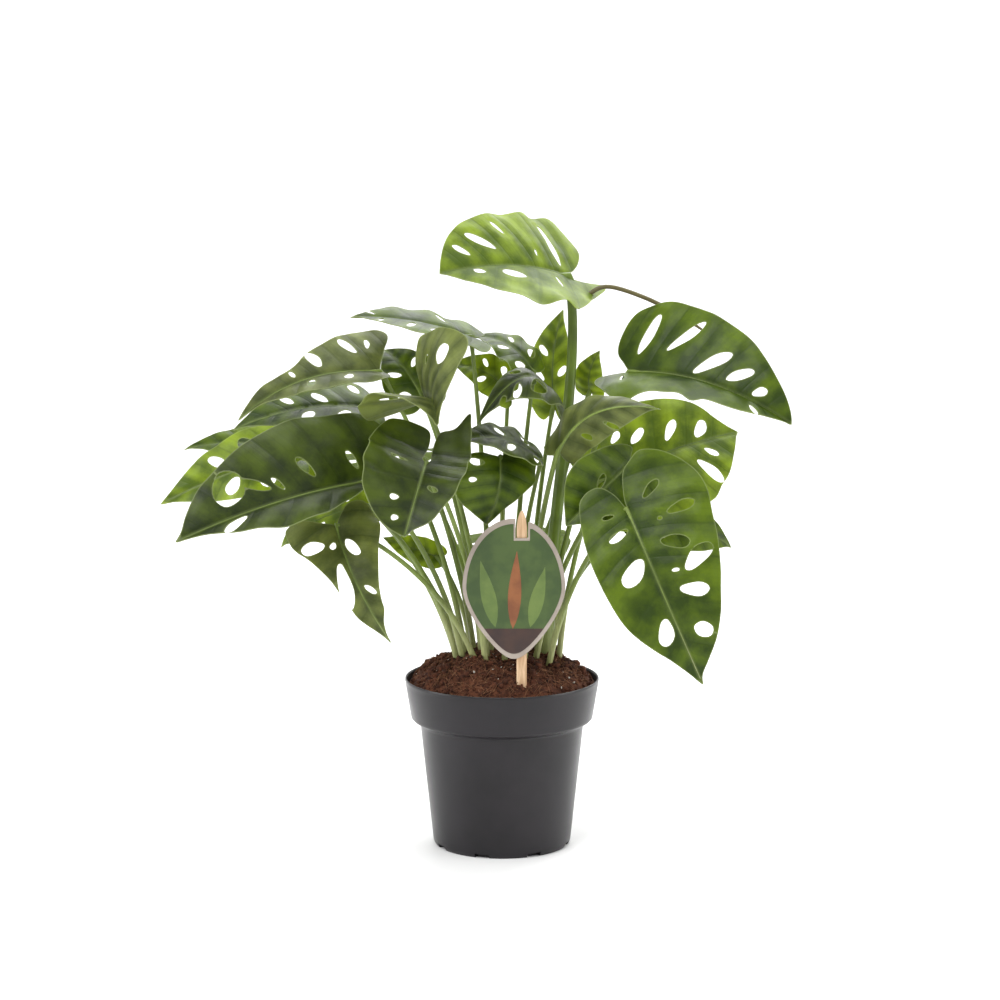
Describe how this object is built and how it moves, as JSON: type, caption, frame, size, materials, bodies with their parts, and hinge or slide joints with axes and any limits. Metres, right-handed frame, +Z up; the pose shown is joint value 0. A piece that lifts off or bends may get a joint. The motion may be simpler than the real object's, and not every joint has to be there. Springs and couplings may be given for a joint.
{
  "type": "monstera adansonii in a nursery pot",
  "caption": "Bushy potted climbing houseplant with holed heart-shaped leaves on thin petioles, standing in a round tapered nursery pot with a label on a stick.",
  "frame": {"origin": "middle of the pot's underside, where it stands", "axes": "+Z up, -Y towards the front of the plant where its label stands, +X to the right seen from the front"},
  "size_m": [0.3821, 0.2477, 0.392],
  "materials": {
    "pot_plastic": "satin moulded charcoal plastic",
    "coir_soil": "loose coarse coir and peat, matt",
    "leaf": "waxy green leaf with satin gloss",
    "pale_wood": "unfinished pale wood",
    "card_print": "printed card, satin"
  },
  "bodies": {
    "root": {"pot": "pot_plastic", "soil": "coir_soil", "leaf_crown": "leaf", "leaf_right_high": "leaf", "leaf_front_right": "leaf", "leaf_front_right_inner": "leaf", "leaf_right_back": "leaf", "leaf_right_low_back": "leaf", "leaf_centre_right": "leaf", "leaf_centre_arched": "leaf", "leaf_behind_stem": "leaf", "leaf_young": "leaf", "leaf_centre_flat": "leaf", "leaf_centre_back": "leaf", "leaf_left_high": "leaf", "leaf_left_upper": "leaf", "leaf_left_under": "leaf", "leaf_left_long": "leaf", "leaf_front_left": "leaf", "leaf_folded_left": "leaf", "leaf_folded_back": "leaf", "leaf_left_far": "leaf", "leaf_left_far_back": "leaf", "leaf_low_left": "leaf", "leaf_low_left_back": "leaf", "leaf_low_small": "leaf", "leaf_centre_low": "leaf", "leaf_centre_brown": "leaf", "leaf_back_left": "leaf", "leaf_back_right": "leaf", "leaf_back_middle": "leaf", "label_stick": "pale_wood", "label_card": "card_print"}
  },
  "joints": []
}
